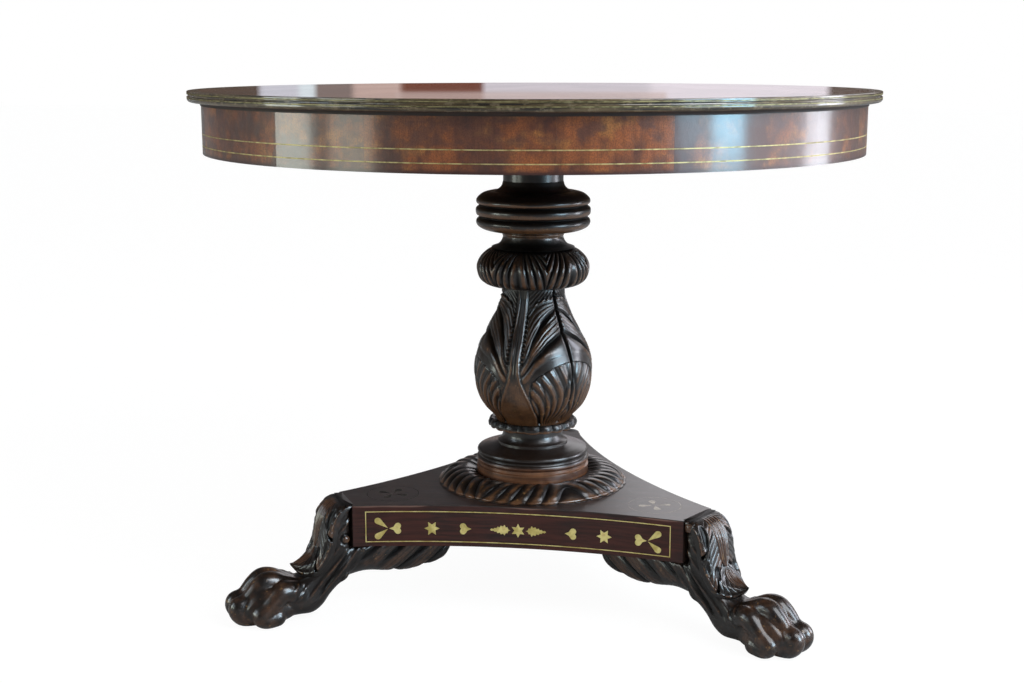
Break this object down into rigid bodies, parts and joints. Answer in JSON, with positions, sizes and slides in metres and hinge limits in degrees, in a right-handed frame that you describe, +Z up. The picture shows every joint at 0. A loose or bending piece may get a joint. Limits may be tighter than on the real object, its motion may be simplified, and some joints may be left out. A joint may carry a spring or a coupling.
{
  "type": "centre table",
  "caption": "Round tilt-top centre table with a brass-lined frieze, carved vase column, hollow-sided three-cornered platform and lion-paw legs.",
  "frame": {"origin": "on the floor, on the column's axis, at the middle of the table's footprint", "axes": "+Z up along the column; the back leg points along +Y, and the pivots of the top lie along X on the -Y side"},
  "size_m": [0.9639, 0.964, 0.739],
  "materials": {
    "pine_groundwork": "matt",
    "light_blocks": "matt",
    "beech_pins": "satin",
    "mahogany_rails": "satin",
    "figured_mahogany": "French-polished gloss",
    "moulded_mahogany": "French-polished gloss",
    "brass_inlay": "polished, dull with age",
    "brass_fittings": "satin",
    "iron_screws": "dull",
    "dark_turned": "polished",
    "dark_carved": "polished",
    "socle_mahogany": "polished",
    "plinth_groundwork": "matt",
    "plinth_rosewood": "French-polished gloss",
    "leg_wood": "polished"
  },
  "bodies": {
    "pedestal": {"tenon_wedges": "light_blocks", "pivot_pins": "beech_pins", "top_block": "mahogany_rails", "side_strings": "brass_inlay", "side_motifs": "brass_inlay", "plinth_top_motifs": "brass_inlay", "keeper_plates": "brass_fittings", "keeper_screws": "brass_fittings", "leg_screws": "iron_screws", "upper_shaft": "dark_turned", "reeded_collar": "dark_turned", "middle_neck": "dark_turned", "gadroon_ring": "dark_carved", "carved_vase": "dark_carved", "leaf_cuff": "dark_carved", "leaf_collar": "dark_carved", "turned_socle": "socle_mahogany", "plinth_core": "plinth_groundwork", "plinth_top_veneer": "plinth_rosewood", "plinth_side_front": "plinth_rosewood", "plinth_side_left": "plinth_rosewood", "plinth_side_right": "plinth_rosewood", "leg_back": "leg_wood", "leg_left": "leg_wood", "leg_right": "leg_wood"},
    "top": {"top_groundwork": "pine_groundwork", "top_veneer": "figured_mahogany", "edge_moulding": "moulded_mahogany", "cove_moulding": "moulded_mahogany", "edge_brass_lines": "brass_inlay", "frieze_core": "pine_groundwork", "frieze_veneer": "figured_mahogany", "frieze_strings": "brass_inlay", "glue_blocks": "light_blocks", "bearer_left": "mahogany_rails", "bearer_right": "mahogany_rails", "bearer_screws": "iron_screws", "bolt_case_left": "brass_fittings", "bolt_case_right": "brass_fittings", "bolt_case_screws": "brass_fittings"},
    "bolt_left": {"sliding_bolt_left": "brass_fittings"},
    "bolt_right": {"sliding_bolt_right": "brass_fittings"}
  },
  "joints": [
    {"name": "top_tilt", "type": "hinge", "parent": "pedestal", "child": "top", "pos_m": [0, -0.136, 0.7021], "axis": [1, 0, 0], "range_deg": [0, 90]},
    {"name": "bolt_left_slide", "type": "slide", "parent": "top", "child": "bolt_left", "axis": [0, -1, 0], "range_m": [0, 0.012]},
    {"name": "bolt_right_slide", "type": "slide", "parent": "top", "child": "bolt_right", "axis": [0, -1, 0], "range_m": [0, 0.012]}
  ]
}
